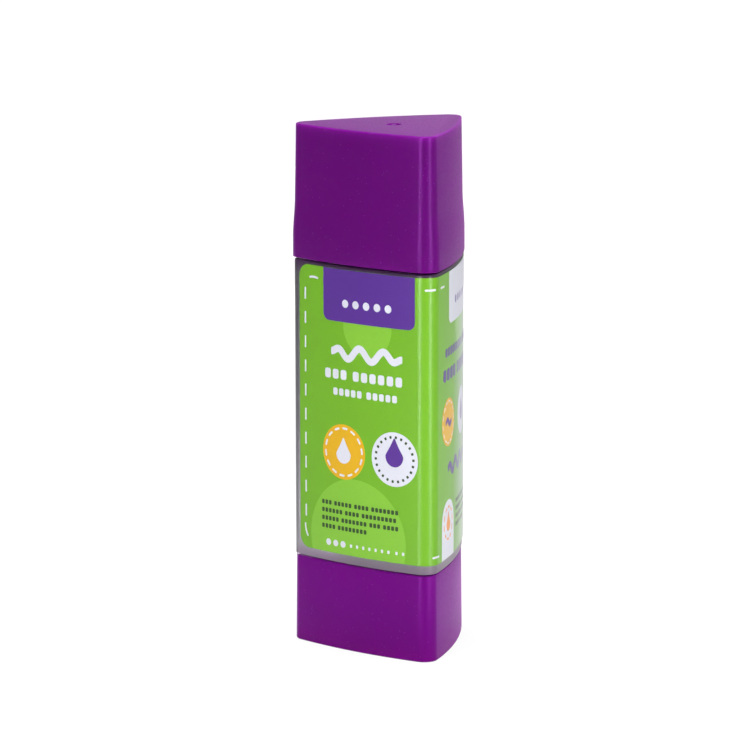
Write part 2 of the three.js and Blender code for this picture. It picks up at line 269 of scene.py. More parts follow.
def printedFilm(name, code, f):
    # Printed polypropylene film: smooth ink under a gloss laminate that lies in very shallow waves. Where it
    # is seen along, the ink is mixed towards a pale colour, a painted reflection
    material, tree = newMaterial(name)
    place = addNode(tree, "TexCoord").outputs["Object"]
    dots = addNode(tree, "TexNoise", {"Scale": 1 / (f["dotSize"] * mm), "Detail": 1}, Vector=place)
    wave = addNode(tree, "TexNoise", {"Scale": 1 / (f["waveSize"] * mm), "Detail": 2}, Vector=place)
    color = toLinear(code)
    dark = [c * (1 - f["variation"]) for c in color[:3]] + [1]
    light = [min(1, c * (1 + f["variation"])) for c in color[:3]] + [1]
    ink = addNode(tree, "Mix", {"data_type": "RGBA", "_6": dark, "_7": light}, _0=dots.outputs["Fac"])
    # painted reflection: pale where the film is seen along
    weight = addNode(tree, "LayerWeight", {"Blend": 0.5})
    paintedReflection = addNode(tree, "MapRange",
                   {"From Min": f["paintedReflectionStart"], "From Max": f["paintedReflectionFull"], "To Max": f["paintedReflection"]},
                   Value=weight.outputs["Facing"])
    ink = addNode(tree, "Mix", {"data_type": "RGBA", "_7": toLinear(f["paintedReflectionColor"])}, _0=paintedReflection.outputs[0],
                  _6=ink.outputs[2])
    matt = addNode(tree, "MapRange",
                   {"To Min": f["roughness"] - f["roughnessSpread"],
                    "To Max": f["roughness"] + f["roughnessSpread"]},
                   Value=wave.outputs["Fac"])
    bump = addNode(tree, "Bump", {"Strength": f["waveStrength"], "Distance": f["waveHeight"] * mm},
                   Height=wave.outputs["Fac"])
    shader = addNode(tree, "BsdfPrincipled",
                     {"IOR": f["ior"], "Specular IOR Level": f["specular"], "Coat Weight": f["coat"],
                      "Coat Roughness": f["coatRoughness"]},
                     Base_Color=ink.outputs[2], Roughness=matt.outputs[0], Normal=bump.outputs[0])
    finishMaterial(tree, shader)
    return material


pasteFinish = dict(
    color="#4b2472", light="#5a2d86",
    markSize=1.2, markHeight=0.05, markStrength=0.4,
    roughness=0.45, ior=1.45, scatter=0.2, scatterDepth=0.6,
)


def castPaste(name, f):
    # Cast glue paste: waxy and slightly translucent, with fine drag marks
    material, tree = newMaterial(name)
    place = addNode(tree, "TexCoord").outputs["Object"]
    marks = addNode(tree, "TexNoise", {"Scale": 1 / (f["markSize"] * mm), "Detail": 4}, Vector=place)
    tint = addNode(tree, "Mix", {"data_type": "RGBA", "_6": toLinear(f["color"]), "_7": toLinear(f["light"])},
                   _0=marks.outputs["Fac"])
    bump = addNode(tree, "Bump", {"Strength": f["markStrength"], "Distance": f["markHeight"] * mm},
                   Height=marks.outputs["Fac"])
    shader = addNode(tree, "BsdfPrincipled",
                     {"Roughness": f["roughness"], "IOR": f["ior"], "Subsurface Weight": f["scatter"],
                      "Subsurface Scale": f["scatterDepth"] * mm},
                     Base_Color=tint.outputs[2], Normal=bump.outputs[0])
    finishMaterial(tree, shader)
    return material


innerFinish = dict(
    color="#dcdde0", light="#e8e8ea", cloudSize=5,
    smooth=0.38, matt=0.5, ior=1.51, scatter=0.15, scatterDepth=1,
)


def naturalPolyethylene(name, f):
    # Natural white polyethylene of the inner parts: milky, satin and a little waxy
    material, tree = newMaterial(name)
    place = addNode(tree, "TexCoord").outputs["Object"]
    cloud = addNode(tree, "TexNoise", {"Scale": 1 / (f["cloudSize"] * mm), "Detail": 2}, Vector=place)
    tint = addNode(tree, "Mix", {"data_type": "RGBA", "_6": toLinear(f["color"]), "_7": toLinear(f["light"])},
                   _0=cloud.outputs["Fac"])
    matt = addNode(tree, "MapRange", {"To Min": f["smooth"], "To Max": f["matt"]}, Value=cloud.outputs["Fac"])
    shader = addNode(tree, "BsdfPrincipled",
                     {"IOR": f["ior"], "Subsurface Weight": f["scatter"],
                      "Subsurface Scale": f["scatterDepth"] * mm},
                     Base_Color=tint.outputs[2], Roughness=matt.outputs[0])
    finishMaterial(tree, shader)
    return material


capPlastic = mouldedPolypropylene("purple_polypropylene", capFinish)
basePlastic = mouldedPolypropylene("purple_polypropylene_painted_lighter", baseFinish)
barrelPlastic = clearPolypropylene("clarified_polypropylene", clearFinish)
pastePlastic = castPaste("glue_paste", pasteFinish)
innerPlastic = naturalPolyethylene("natural_polyethylene", innerFinish)
inks = dict(
    green="#69a518",
    pale="#7bb630",
    white="#cfd0db",
    purple="#4f2586",
    yellow="#d6a404",
    dark="#233f18",
    orange="#e08a2a",
)
inkMaterials = {ink: printedFilm("film_" + ink, code, filmFinish) for ink, code in inks.items()}
print("materials made")


# The section: three corner arcs joined by three flat arcs with the same tangents. A place on it goes by its
# length round from the front side's middle

section = dict(
    faceDistance=-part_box("base_knob")[0].y / mm,
    cornerRadius=2.5,
    sideBulge=1.06,  # how far a side's arc stands out past a straight line between its corners
    sideSteps=14,
    cornerSteps=18,
    filmOffset=0.2,  # how far outside the base's section the lengths are measured
)
thirdTurn = 2 * math.pi / 3
frontSide = -math.pi / 2
cornerDistance = 2 * (section["faceDistance"] - section["cornerRadius"] - section["sideBulge"])
chordDistance = cornerDistance / 2 + section["sideBulge"]
sideCentre = (cornerDistance ** 2 - chordDistance ** 2) / (2 * chordDistance - cornerDistance)
sideRadius = chordDistance + section["cornerRadius"] + sideCentre
sideHalfAngle = math.atan2(cornerDistance * math.sin(thirdTurn / 2), cornerDistance / 2 + sideCentre)
cornerHalfAngle = thirdTurn / 2 - sideHalfAngle
sideHalf = sideHalfAngle * (sideRadius + section["filmOffset"])
cornerLength = 2 * cornerHalfAngle * (section["cornerRadius"] + section["filmOffset"])
partLength = 2 * sideHalf + cornerLength


def sectionAt(length, offset):  # the point at that length, moved outwards by the offset
    part = math.floor((length + sideHalf) / partLength)
    local = length - part * partLength
    middle = frontSide + part * thirdTurn
    if local <= sideHalf:
        centre, away, radius = -sideCentre, middle, sideRadius
        angle = middle + local / (sideRadius + section["filmOffset"])
    else:
        centre, away, radius = cornerDistance, middle + thirdTurn / 2, section["cornerRadius"]
        angle = away - cornerHalfAngle + (local - sideHalf) / (radius + section["filmOffset"])
    x = centre * math.cos(away) + (radius + offset) * math.cos(angle)
    y = centre * math.sin(away) + (radius + offset) * math.sin(angle)
    return x, y


def sectionLengths(sideSteps, cornerSteps):  # the lengths that divide each side and each corner into steps
    lengths = []
    for part in range(3):
        start = part * partLength - sideHalf
        lengths += [start + 2 * sideHalf * i / sideSteps for i in range(sideSteps)]
        start += 2 * sideHalf
        lengths += [start + cornerLength * i / cornerSteps for i in range(cornerSteps)]
    return lengths


outline = sectionLengths(section["sideSteps"], section["cornerSteps"])


# Modelling helpers

smoothAngle = 32
mergeDistance = 0.0005
pickGap = 0.01  # points closer than this count as being at the same place
alongAxis = 0.9  # a normal's share along a direction from which the face counts as facing that way
overlap = 0.5  # how deep an added part is rooted in what carries it
cutPast = 1  # how far a cutting tool reaches past the face that it cuts


def deselectAll():
    if bpy.context.object and bpy.context.object.mode != "OBJECT":
        bpy.ops.object.mode_set(mode="OBJECT")
    bpy.ops.object.select_all(action="DESELECT")


def selectOnly(obj):
    deselectAll()
    obj.select_set(True)
    bpy.context.view_layer.objects.active = obj


def startEditing(obj):
    selectOnly(obj)
    bpy.ops.object.mode_set(mode="EDIT")
    bpy.ops.mesh.select_all(action="SELECT")


def stopEditing():
    bpy.ops.object.mode_set(mode="OBJECT")


def pick(kind, test):  # selects faces by centre and normal, edges and vertices by their ends
    obj = bpy.context.object
    bpy.ops.mesh.select_mode(type=kind)
    bpy.ops.mesh.select_all(action="DESELECT")
    mesh = bmesh.from_edit_mesh(obj.data)
    if kind == "FACE":
        found = [f for f in mesh.faces if test(f.calc_center_median() / mm, f.normal)]
    elif kind == "EDGE":
        found = [e for e in mesh.edges if test(e.verts[0].co / mm, e.verts[1].co / mm)]
    else:
        found = [v for v in mesh.verts if test(v.co / mm)]
    for item in found:
        item.select_set(True)
    bmesh.update_edit_mesh(obj.data)


def near(a, b):
    return abs(a - b) < pickGap


def edgesAtLevel(level):
    return lambda a, b: near(a.z, level) and near(b.z, level)


def facesAtLevel(level):
    return lambda centre, normal: near(centre.z, level) and abs(normal.z) > alongAxis


def startSection(name, offset, level):  # a filled disc in the shape of the section, left in edit mode
    deselectAll()
    bpy.ops.mesh.primitive_circle_add(vertices=len(outline), radius=1 * mm, fill_type="NGON")
    obj = bpy.context.object
    obj.name = name
    for vertex, length in zip(obj.data.vertices, outline):
        x, y = sectionAt(length, offset)
        vertex.co = Vector((x, y, level)) * mm
    obj.data.update()
    startEditing(obj)
    bpy.ops.mesh.normals_make_consistent(inside=False)
    return obj


def extrudeBy(height):
    bpy.ops.mesh.extrude_region_move(TRANSFORM_OT_translate={"value": (0, 0, height * mm)})


def insetBy(thickness, height=0):  # moves the picked face in by the thickness, and along Z by the height
    mesh = bmesh.from_edit_mesh(bpy.context.object.data)
    normal = next(f for f in mesh.faces if f.select).normal.z
    depth = math.copysign(1, normal) * height
    bpy.ops.mesh.inset(thickness=thickness * mm, depth=depth * mm, use_even_offset=True)


def bevelBy(width, segments):
    bpy.ops.mesh.bevel(offset=width * mm, segments=segments, profile=0.5, affect="EDGES", clamp_overlap=True)


def closeHole(level):
    pick("EDGE", edgesAtLevel(level))
    bpy.ops.mesh.edge_face_add()


def closeSolid():
    bpy.ops.mesh.select_all(action="SELECT")
    bpy.ops.mesh.remove_doubles(threshold=mergeDistance * mm)
    bpy.ops.mesh.normals_make_consistent(inside=False)
    stopEditing()


def addCylinder(radius, low, high, vertices=96, edge=0):
    deselectAll()
    bpy.ops.mesh.primitive_cylinder_add(vertices=vertices, radius=radius * mm, depth=(high - low) * mm,
                                        location=(0, 0, (low + high) / 2 * mm))
    bpy.ops.object.transform_apply(location=True, rotation=True, scale=True)
    obj = bpy.context.object
    if edge:
        startEditing(obj)
        pick("EDGE", lambda a, b: near(a.z, b.z))
        bevelBy(edge, segments=3)
        stopEditing()
    return obj


def addBar(angle, inner, outer, width, low, high):  # a bar that runs out from the axis at an angle
    deselectAll()
    middle = (inner + outer) / 2
    place = Vector((middle * math.cos(angle), middle * math.sin(angle), (low + high) / 2)) * mm
    bpy.ops.mesh.primitive_cube_add(size=1, location=place, rotation=(0, 0, angle),
                                    scale=((outer - inner) * mm, width * mm, (high - low) * mm))
    bpy.ops.object.transform_apply(location=True, rotation=True, scale=True)
    return bpy.context.object


def useModifier(obj, kind, **settings):
    selectOnly(obj)
    modifier = obj.modifiers.new(kind.lower(), kind)
    for key, value in settings.items():
        setattr(modifier, key, value)
    bpy.ops.object.modifier_apply(modifier=modifier.name)


def combine(obj, tool, operation):
    useModifier(obj, "BOOLEAN", object=tool, operation=operation, solver="EXACT")
    bpy.data.objects.remove(tool)


def finishPiece(obj, body, nodes, material):
    selectOnly(obj)
    bpy.ops.object.shade_smooth_by_angle(angle=math.radians(smoothAngle))
    obj.data.materials.clear()
    obj.data.materials.append(material)
    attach(obj, body)
    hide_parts(*nodes)


# Cap: a flared hood with a round skirt and three gussets inside, and the gate mark in a dimple on top

capSettings = dict(
    wall=1.2, top=1.6, topInset=0.2, topEdge=0.32, rimEdge=0.25,
    rimFlare=0.38, flareStart=3.5, flareLength=7.5, flareSteps=8,
    skirtBore=9.55, skirtWall=0.8, skirtLift=0.8,
    gussetThickness=0.8, gussetHeight=16,
    dimpleRadius=1.38, dimpleDepth=0.35, gateRadius=0.42, gateHeight=0.33,
)


def makeCap(s):
    ceiling = topLevel - s["top"]
    cap = startSection("cap_cover", s["rimFlare"], capRim)
    extrudeBy(s["flareStart"])
    before = 0
    for step in range(1, s["flareSteps"] + 1):
        share = step / s["flareSteps"]
        smooth = share * share * (3 - 2 * share)
        insetBy(s["rimFlare"] * (smooth - before), s["flareLength"] / s["flareSteps"])
        before = smooth
    insetBy(s["topInset"], topLevel - capRim - s["flareStart"] - s["flareLength"])
    pick("FACE", facesAtLevel(capRim))
    insetBy(s["wall"])
    insetBy(s["rimFlare"] + s["topInset"], ceiling - capRim)
    pick("EDGE", edgesAtLevel(topLevel))
    bevelBy(s["topEdge"], segments=6)
    pick("EDGE", edgesAtLevel(capRim))
    bevelBy(s["rimEdge"], segments=4)
    closeSolid()
    skirtOuter = s["skirtBore"] + s["skirtWall"]
    root = ceiling + s["top"] / 2
    combine(cap, addCylinder(skirtOuter, capRim + s["skirtLift"], root), "UNION")
    for corner in range(3):
        angle = frontSide + thirdTurn * (corner + 0.5)
        reach = cornerDistance + section["cornerRadius"] - s["topInset"] - s["wall"] / 2
        gusset = addBar(angle, s["skirtBore"], reach, s["gussetThickness"], ceiling - s["gussetHeight"], root)
        combine(cap, gusset, "UNION")
    combine(cap, addCylinder(s["skirtBore"], capRim - cutPast, ceiling), "DIFFERENCE")
    dimple = topLevel - s["dimpleDepth"]
    combine(cap, addCylinder(s["dimpleRadius"], dimple, topLevel + cutPast, vertices=48), "DIFFERENCE")
    gate = addCylinder(s["gateRadius"], dimple - overlap, dimple + s["gateHeight"], vertices=24)
    combine(cap, gate, "UNION")
    finishPiece(cap, "cap", ["cap"], capPlastic)


makeCap(capSettings)
print("cap made")


# Base: an open box with a collar for the tube, and a hub with the spindle's square socket

baseSettings = dict(
    floor=1.6, wall=1.2, topInset=0.15, topEdge=0.5, footEdge=0.3,
    collarBore=9.45, collarWall=0.8, collarDrop=0.6,
    hubRadius=4.6, hubDrop=0.3, hubEdge=0.2,
    socketRadius=2.7, socketFoot=4.7,
)


def onOutline(point, offset):  # true for a point on the outline that lies at this offset
    return any((Vector(sectionAt(length, offset)) - point.xy).length < 5 * pickGap for length in outline)


def makeBase(s):
    base = startSection("base_knob_shell", 0, 0)
    insetBy(s["topInset"], baseTop)
    insetBy(s["wall"] - s["topInset"])
    extrudeBy(s["floor"] - baseTop)
    closeHole(0)
    pick("EDGE", lambda a, b: near(a.z, baseTop) and near(b.z, baseTop) and onOutline(a, -s["topInset"]))
    bevelBy(s["topEdge"], segments=6)
    pick("EDGE", edgesAtLevel(0))
    bevelBy(s["footEdge"], segments=4)
    closeSolid()
    rim = baseTop - s["collarDrop"]
    hubTop = tubeFoot - s["hubDrop"]
    root = s["floor"] - overlap
    combine(base, addCylinder(s["collarBore"] + s["collarWall"], root, rim), "UNION")
    combine(base, addCylinder(s["collarBore"], s["floor"], rim + cutPast), "DIFFERENCE")
    combine(base, addCylinder(s["hubRadius"], root, hubTop, vertices=64, edge=s["hubEdge"]), "UNION")
    combine(base, addCylinder(s["socketRadius"], s["socketFoot"], hubTop + cutPast, vertices=4), "DIFFERENCE")
    finishPiece(base, "knob", ["base_knob"], basePlastic)


makeBase(baseSettings)
print("base made")


# Barrel: a clear shell with a deck, and the tube that holds the paste

barrelSettings = dict(
    wall=1.2, flare=0.07, topEdge=0.35, footEdge=0.17, deck=1.2,
    tubeRadius=9.2, boreRadius=8.3, neckEdge=0.3, web=1.4, webBore=2.95,
    beadRadius=9.4, beadLow=74.4, beadHigh=75.6, beadEdge=0.19,
    ribDepth=0.4, ribRoot=0.4, ribWidth=1, ribBelowRim=2,
)


def makeBarrel(s):
    barrel = startSection("barrel_shell", s["flare"], shellTop)
    insetBy(s["flare"], shellFoot - shellTop)
    insetBy(s["wall"])
    extrudeBy(shellTop - s["deck"] - shellFoot)
    closeHole(shellTop)
    pick("EDGE", edgesAtLevel(shellTop))
    bevelBy(s["topEdge"], segments=4)
    pick("EDGE", edgesAtLevel(shellFoot))
    bevelBy(s["footEdge"], segments=3)
    closeSolid()
    web = tubeFoot + s["web"]
    combine(barrel, addCylinder(s["tubeRadius"], tubeFoot, neckTop, edge=s["neckEdge"]), "UNION")
    combine(barrel, addCylinder(s["beadRadius"], s["beadLow"], s["beadHigh"], edge=s["beadEdge"]), "UNION")
    combine(barrel, addCylinder(s["boreRadius"], web, neckTop + cutPast), "DIFFERENCE")
    combine(barrel, addCylinder(s["webBore"], tubeFoot - cutPast, web + cutPast, vertices=48), "DIFFERENCE")
    for i in range(3):
        angle = frontSide + i * thirdTurn
        rib = addBar(angle, s["boreRadius"] - s["ribDepth"], s["tubeRadius"] - s["ribRoot"], s["ribWidth"],
                     tubeFoot + s["web"] / 2, neckTop - s["ribBelowRim"])
        combine(barrel, rib, "UNION")
    finishPiece(barrel, "barrel", ["barrel"], barrelPlastic)


makeBarrel(barrelSettings)
print("barrel made")


# Paste, cast in the carrier's cup and in the tube, with a hole for the spindle and flutes for the ribs

pasteSettings = dict(
    foot=17.2, footRadius=7.25, shoulder=25.1, radius=8.2, top=78, topEdge=0.6,
    holeRadius=3.3, holeTop=72.2, hubRadius=4.1, hubTop=19.1,
    fluteDepth=0.45, fluteWidth=1.3,
    keep=0.37,  # the share of its length that is left when it is wound right up
)


def makePaste(s):
    paste = addCylinder(s["radius"], s["shoulder"], s["top"])
    paste.name = "glue_paste"
    startEditing(paste)
    pick("EDGE", edgesAtLevel(s["top"]))
    bevelBy(s["topEdge"], segments=4)
    stopEditing()
    below = s["foot"] - cutPast
    combine(paste, addCylinder(s["footRadius"], s["foot"], s["shoulder"] + overlap), "UNION")
    combine(paste, addCylinder(s["hubRadius"], below, s["hubTop"], vertices=64), "DIFFERENCE")
    combine(paste, addCylinder(s["holeRadius"], below, s["holeTop"], vertices=64), "DIFFERENCE")
    for i in range(3):
        angle = frontSide + i * thirdTurn
        flute = addBar(angle, s["radius"] - s["fluteDepth"], s["radius"] + cutPast, s["fluteWidth"],
                       s["shoulder"] - cutPast, s["top"] + cutPast)
        combine(paste, flute, "DIFFERENCE")
    finishPiece(paste, "carrier", ["glue_column"], pastePlastic)
    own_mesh(paste)


makePaste(pasteSettings)
for name in ("carrier", "spindle"):
    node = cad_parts[name]
    node.data.materials.clear()
    node.data.materials.append(innerPlastic)
print("paste and inner parts made")


# Label: a film that runs round the barrel. A place on it is its length round from the main side's middle and
# its height

labelSettings = dict(
    start=-sideHalf + 0.55, low=17.5, high=69.1, cornerRadius=2.3, gap=0.05, thickness=0.12,
    inkStep=0.008,  # from one layer of ink to the next
    inkThickness=0.02,
    inkMargin=0.02,  # between a print and the film's edge
    sideStep=1.9, cornerStep=0.3,  # between the cuts that let a flat shape bend
)
labelEnd = 2 * partLength - labelSettings["start"]
filmCuts = sectionLengths(round(2 * sideHalf / labelSettings["sideStep"]),
                          round(cornerLength / labelSettings["cornerStep"]))


def faceOutwards(obj):
    startEditing(obj)
    bpy.ops.mesh.normals_make_consistent(inside=False)
    pick("FACE", lambda centre, normal: centre.xy.dot(normal.xy) < 0)
    bpy.ops.mesh.flip_normals()
    stopEditing()


def wrapFlat(obj, surface):  # rolls a flat shape, length along X and height along Y, onto the barrel
    low = min(v.co.x for v in obj.data.vertices) / mm
    high = max(v.co.x for v in obj.data.vertices) / mm
    startEditing(obj)
    for cut in filmCuts:
        if low < cut < high:
            bpy.ops.mesh.select_all(action="SELECT")
            bpy.ops.mesh.bisect(plane_co=(cut * mm, 0, 0), plane_no=(1, 0, 0))
    stopEditing()
    outward = obj.data.attributes.new("outward", "FLOAT_VECTOR", "POINT").data
    for vertex in obj.data.vertices:
        length, level, lift = vertex.co / mm
        offset = surface + lift + barrelSettings["flare"] * (level - shellFoot) / (shellTop - shellFoot)
        place = Vector((*sectionAt(length, offset), level))
        outward[vertex.index].vector = Vector((*sectionAt(length, offset + 1), level)) - place
        vertex.co = place * mm
    obj.data.update()
    faceOutwards(obj)


def roundShading(obj):  # a sheet shades as the smooth curve that it lies on, whatever its faces
    mesh = obj.data
    outward = mesh.attributes["outward"].data
    normals = [Vector((0, 0, 0))] * len(mesh.loops)
    for face in mesh.polygons:
        if face.normal.dot(outward[face.vertices[0]].vector) > alongAxis:
            for loop in face.loop_indices:
                normals[loop] = outward[mesh.loops[loop].vertex_index].vector
    mesh.normals_split_custom_set(normals)
    mesh.attributes.remove(mesh.attributes["outward"])


def addFlat(low, high, radius, layer=0, steps=1, square=0):
    # A rectangle with round corners, but for its top ones where square is 1, or its lower ones where it is -1
    deselectAll()
    bpy.ops.mesh.primitive_grid_add(x_subdivisions=steps, y_subdivisions=1, size=1)
    obj = bpy.context.object
    startEditing(obj)
    bpy.ops.transform.resize(value=((high[0] - low[0]) * mm, (high[1] - low[1]) * mm, 1))
    end = (high[0] - low[0]) / 2
    pick("VERT", lambda point: near(abs(point.x), end) and point.y * square <= 0)
    bpy.ops.mesh.bevel(offset=radius * mm, segments=8, affect="VERTICES")
    bpy.ops.mesh.select_all(action="SELECT")
    middle = Vector(((low[0] + high[0]) / 2, (low[1] + high[1]) / 2, layer * labelSettings["inkStep"]))
    bpy.ops.transform.translate(value=middle * mm)
    stopEditing()
    return obj


def makeFilm(s):
    film = addFlat((s["start"], s["low"]), (labelEnd, s["high"]), s["cornerRadius"])
    film.name = "label_film"
    wrapFlat(film, s["gap"])
    useModifier(film, "SOLIDIFY", thickness=s["thickness"] * mm, offset=1, use_even_offset=True)
    finishPiece(film, "barrel", ["label"], inkMaterials["green"])
    roundShading(film)


makeFilm(labelSettings)
print("film made, up to the length", round(labelEnd, 2))


# Printed shapes. Each is kept in the list of its ink, and is lifted by its layer

shapes = {ink: [] for ink in inks}
backLayer = 1
printLayer = 2
motifLayer = 3


def keepFlat(ink, obj):
    shapes[ink].append(obj)
    return obj


def addDisc(ink, centre, radius, layer=printLayer, vertices=72):
    deselectAll()
    place = Vector((*centre, layer * labelSettings["inkStep"])) * mm
    bpy.ops.mesh.primitive_circle_add(vertices=vertices, radius=radius * mm, fill_type="NGON", location=place)
    bpy.ops.object.transform_apply(location=True)
    return keepFlat(ink, bpy.context.object)


def addDots(ink, first, pitch, count, radius, layer, vertices):  # a level row of discs
    for i in range(count):
        addDisc(ink, (first[0] + pitch * i, first[1]), radius, layer, vertices)


bandShape = dict(roundness=0.49, lookAhead=0.001)  # shares of the band's width and of its length


def addBand(ink, path, length, width, layer, steps):  # a bar with round ends, bent along a path
    bar = addFlat((0, -width / 2), (length, width / 2), width * bandShape["roundness"], layer, steps)
    for vertex in bar.data.vertices:
        along, across, lift = vertex.co / mm
        here = Vector(path(along / length))
        ahead = Vector(path(along / length + bandShape["lookAhead"]))
        forward = (ahead - here).normalized()
        here += Vector((-forward.y, forward.x)) * across
        vertex.co = Vector((*here, lift)) * mm
    return keepFlat(ink, bar)


def linePath(start, end):
    return lambda share: (start[0] + (end[0] - start[0]) * share, start[1] + (end[1] - start[1]) * share)


def arcPath(centre, radius, first, last):
    def place(share):
        angle = math.radians(first + (last - first) * share)
        return centre[0] + radius * math.cos(angle), centre[1] + radius * math.sin(angle)
    return place


def wavePath(start, length, height, swings):
    def place(share):
        fade = min(1, 2 * swings * share, 2 * swings * (1 - share))
        return start[0] + length * share, start[1] + height * fade * math.sin(2 * math.pi * swings * share)
    return place


def addWave(ink, start, length, height, swings, width, layer=printLayer, steps=96):
    addBand(ink, wavePath(start, length, height, swings), length, width, layer, steps)


def addDashedRing(ink, centre, radius, count, width, share):  # the share of the round that the dashes cover
    sweep = 360 / count * share
    for i in range(count):
        first = 360 * i / count
        length = math.radians(sweep) * radius
        addBand(ink, arcPath(centre, radius, first, first + sweep), length, width, motifLayer, steps=4)


dropShape = dict(narrowing=0.62, narrowingPower=1.5, point=0.75, pointPower=3)


def addDrop(ink, centre, radius):  # a disc whose upper half is narrowed and drawn up to a point
    drop = addDisc(ink, (0, 0), 1, motifLayer, vertices=48)
    for vertex in drop.data.vertices:
        x, y, lift = vertex.co / mm
        pull = max(0, y)
        x *= 1 - dropShape["narrowing"] * pull ** dropShape["narrowingPower"]
        y += dropShape["point"] * pull ** dropShape["pointPower"]
        vertex.co = Vector((centre[0] + x * radius, centre[1] + y * radius, lift)) * mm


def addMotif(centre, ring=None, drop=None):
    if ring:
        addDashedRing(centre=centre, **ring)
    if drop:
        addDrop(drop["ink"], (centre[0], centre[1] + drop["rise"]), drop["radius"])


def addRoundel(ink, centre, radius, vertices=72, **motif):
    addDisc(ink, centre, radius, printLayer, vertices)
    addMotif(centre, **motif)


blockShape = dict(width=0.78, cornerRadius=0.24, gap=0.3, groupGap=0.55)  # shares of the blocks' height


def addBlocks(ink, left, level, height, groups, gap=blockShape["gap"]):  # a row of plain blocks in groups
    width = height * blockShape["width"]
    pitch = width + height * gap
    for count in groups:
        low = (left, level - height / 2)
        high = (left + width, level + height / 2)
        block = addFlat(low, high, height * blockShape["cornerRadius"], printLayer)
        if count > 1:
            useModifier(block, "ARRAY", count=count, use_relative_offset=False, use_constant_offset=True,
                        constant_offset_displace=(pitch * mm, 0, 0))
        keepFlat(ink, block)
        left += pitch * count + height * blockShape["groupGap"]


def addSmallRows(left, top, pitch, rows, ink="dark", height=0.8):
    for i, groups in enumerate(rows):
        addBlocks(ink, left, top - pitch * i, height, groups)


tabShape = dict(foot=59.65, cornerRadius=1.4)
tabDots = dict(pitch=2.4, count=5, radius=0.72, layer=motifLayer, vertices=32)


def addTab(ink, left, right):  # a panel that hangs from the film's top edge
    high = (right, labelSettings["high"] - labelSettings["inkMargin"])
    keepFlat(ink, addFlat((left, tabShape["foot"]), high, tabShape["cornerRadius"], printLayer, square=1))


def addArch(ink, left, right, top, cornerRadius):  # a panel that stands on the film's lower edge
    low = (left, labelSettings["low"] + labelSettings["inkMargin"])
    keepFlat(ink, addFlat(low, (right, top), cornerRadius, printLayer, square=-1))


def printPanel(s):
    addTab(**s["tab"])
    for dots in s["dots"]:
        addDots(**dots)
    for row in s["blocks"]:
        addBlocks(**row)
    for roundel in s["roundels"]:
        addRoundel(**roundel)
    for wave in s["waves"]:
        addWave(**wave)
    for rows in s["smallRows"]:
        addSmallRows(**rows)


mainPanel = dict(
    tab=dict(ink="purple", left=-7, right=13.5),
    dots=[
        dict(ink="white", first=(-1.7, 63), **tabDots),
        dict(ink="white", first=(-5.9, 19.35), pitch=1.76, count=3, radius=0.6, layer=printLayer,
             vertices=24),
    ],
    waves=[dict(ink="white", start=(-5.1, 54.2), length=16, height=1.05, swings=3, width=1.3)],
    blocks=[
        dict(ink="white", left=-6.6, level=50.15, height=1.75, groups=(3, 6)),
        dict(ink="white", left=-4.6, level=47, height=1.3, groups=(5, 5)),
        dict(ink="white", left=-0.7, level=19.3, height=0.6, groups=(7, 2), gap=1.55),
    ],
    roundels=[
        dict(ink="yellow", centre=(-2.2, 36.2), radius=5,
             ring=dict(ink="white", radius=4.3, count=14, width=0.37, share=0.62),
             drop=dict(ink="white", rise=-0.4, radius=1.7)),
        dict(ink="white", centre=(9.2, 36.2), radius=4.9,
             ring=dict(ink="dark", radius=4, count=22, width=0.5, share=0.4),
             drop=dict(ink="purple", rise=0.5, radius=1.9)),
    ],
    smallRows=[dict(left=-7.5, top=26.6, pitch=1.45, rows=((3, 5, 4, 7), (6, 4, 9), (5, 7, 3, 4), (4, 8)))],
)
printPanel(mainPanel)


rightPanel = dict(
    tab=dict(ink="white", left=24.9, right=45.4),
    dots=[dict(ink="purple", first=(30.3, 63.4), **tabDots)],
    waves=[
        dict(ink="purple", start=(22.7, 42.05), length=4.2, height=0.9, swings=1, width=0.9, layer=motifLayer,
             steps=32),
        dict(ink="purple", start=(24.3, 33.6), length=17.5, height=1, swings=3.5, width=1.2, layer=backLayer),
    ],
    blocks=[
        dict(ink="purple", left=22.6, level=54.7, height=1.6, groups=(9, 4)),
        dict(ink="purple", left=21.3, level=50.7, height=2.2, groups=(4, 5)),
    ],
    roundels=[
        dict(ink="yellow", centre=(24.8, 42.05), radius=4.35,
             ring=dict(ink="white", radius=3.75, count=14, width=0.3, share=0.6)),
        dict(ink="white", centre=(37.2, 42.05), radius=4.35, drop=dict(ink="purple", rise=-0.2, radius=1.6)),
    ],
    smallRows=[dict(left=31, top=26.6, pitch=1.45, rows=((5, 6, 3), (7, 4, 3), (3, 5, 6), (6, 5)))],
)
archPanel = dict(
    arch=dict(ink="white", left=20.6, right=29, top=28, cornerRadius=4.1),
    motif=dict(centre=(24.8, 23.8),
               ring=dict(ink="orange", radius=2.9, count=10, width=0.4, share=0.65),
               drop=dict(ink="orange", rise=-0.2, radius=1.3)),
)
printPanel(rightPanel)
addArch(**archPanel["arch"])
addMotif(**archPanel["motif"])


backMiddle = 2 * partLength
backPanel = dict(
    tab=dict(ink="purple", left=backMiddle - 10.25, right=backMiddle + 10.25),
    dots=[dict(ink="white", first=(backMiddle - 4.8, 63.4), **tabDots)],
    waves=[dict(ink="white", start=(backMiddle - 9, 25.2), length=18, height=0.9, swings=4, width=1.1)],
    blocks=[],
    roundels=[
        dict(ink=ink, centre=(backMiddle + left, 33.2), radius=3.4, vertices=64,
             drop=dict(ink=motif, rise=-0.3, radius=1.3))
        for left, ink, motif in ((-8, "yellow", "white"), (0, "white", "purple"), (8, "purple", "white"))
    ],
    smallRows=[
        dict(left=backMiddle - 9.6, top=51.6, pitch=1.5,
             rows=((4, 6, 3, 5), (7, 3, 5, 3), (3, 6, 4, 4), (5, 4, 6))),
        dict(left=backMiddle - 9.6, top=44.4, pitch=1.5, rows=((6, 2, 5, 4), (3, 5, 3, 6), (5, 7, 3))),
    ],
)
printPanel(backPanel)


